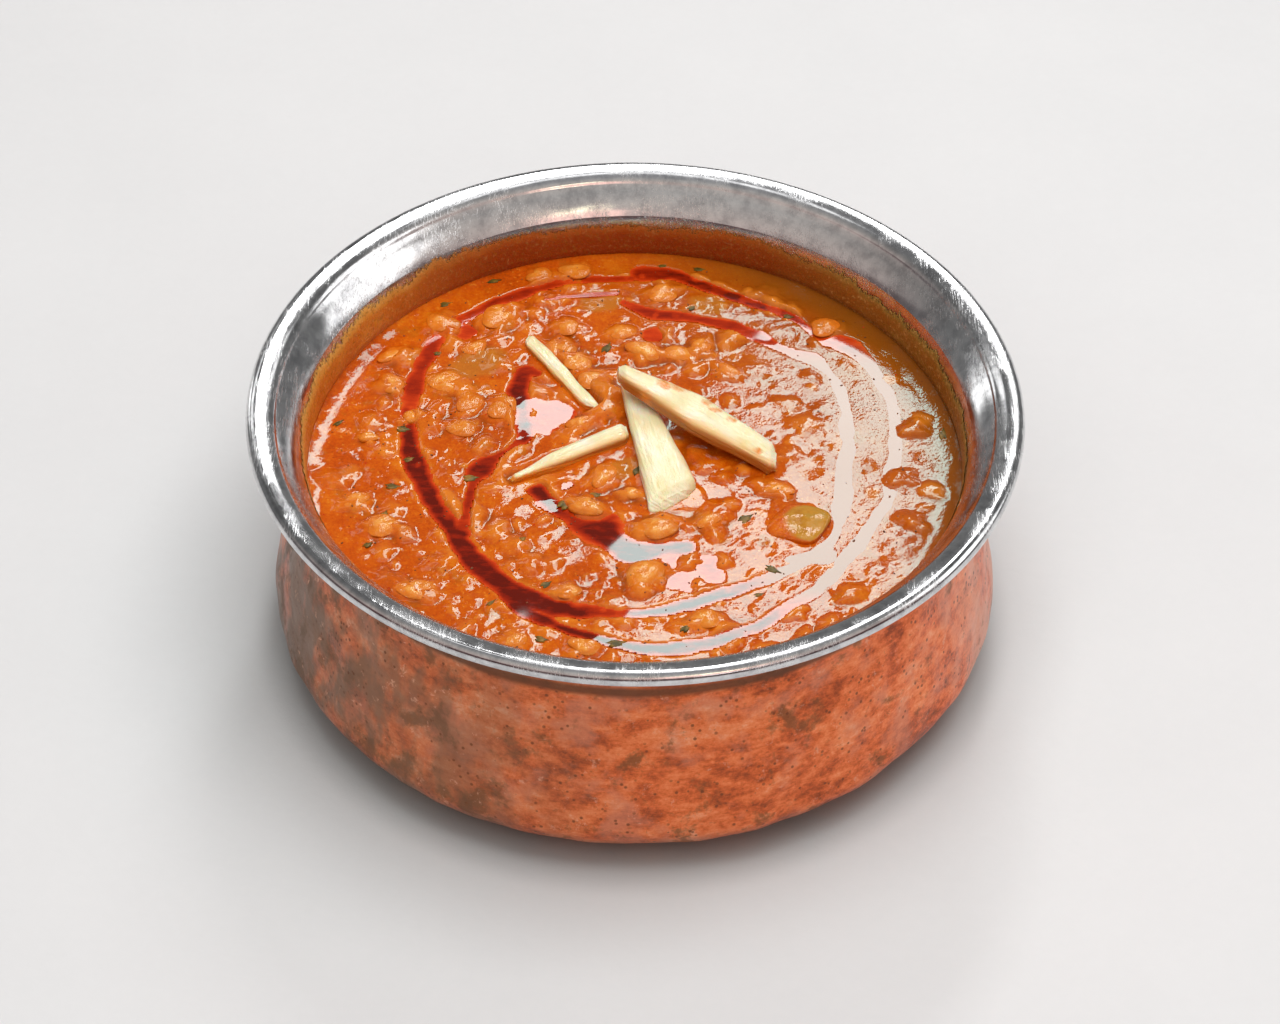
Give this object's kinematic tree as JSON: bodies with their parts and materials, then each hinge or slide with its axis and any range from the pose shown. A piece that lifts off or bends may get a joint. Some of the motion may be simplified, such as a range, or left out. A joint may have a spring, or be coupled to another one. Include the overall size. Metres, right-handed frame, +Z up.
{
  "type": "bowl of dal curry",
  "caption": "Round copper and steel serving bowl with a flared lip, filled with lentil curry and topped with ginger sticks.",
  "frame": {"origin": "middle of the flat base, on the surface the bowl stands on", "axes": "+Z up out of the bowl's mouth; the wide ginger stick points towards -Y and the pepper piece lies on the +X side"},
  "size_m": [0.14, 0.14, 0.0532],
  "materials": {
    "copper": "hammered, aged copper, satin",
    "steel": "polished stainless steel with fine scratches",
    "gravy": "glossy thick gravy",
    "ginger": "moist raw ginger",
    "pepper": "cooked green pepper, wet",
    "lentil": "cooked split lentils, wet",
    "chilli_oil": "clear red chilli oil",
    "herb": "chopped herb and ground spice"
  },
  "bodies": {
    "root": {"copper_shell": "copper", "steel_liner": "steel", "curry": "gravy", "ginger_stick_1": "ginger", "ginger_stick_2": "ginger", "ginger_stick_3": "ginger", "ginger_stick_4": "ginger", "pepper_piece": "pepper"}
  },
  "joints": []
}
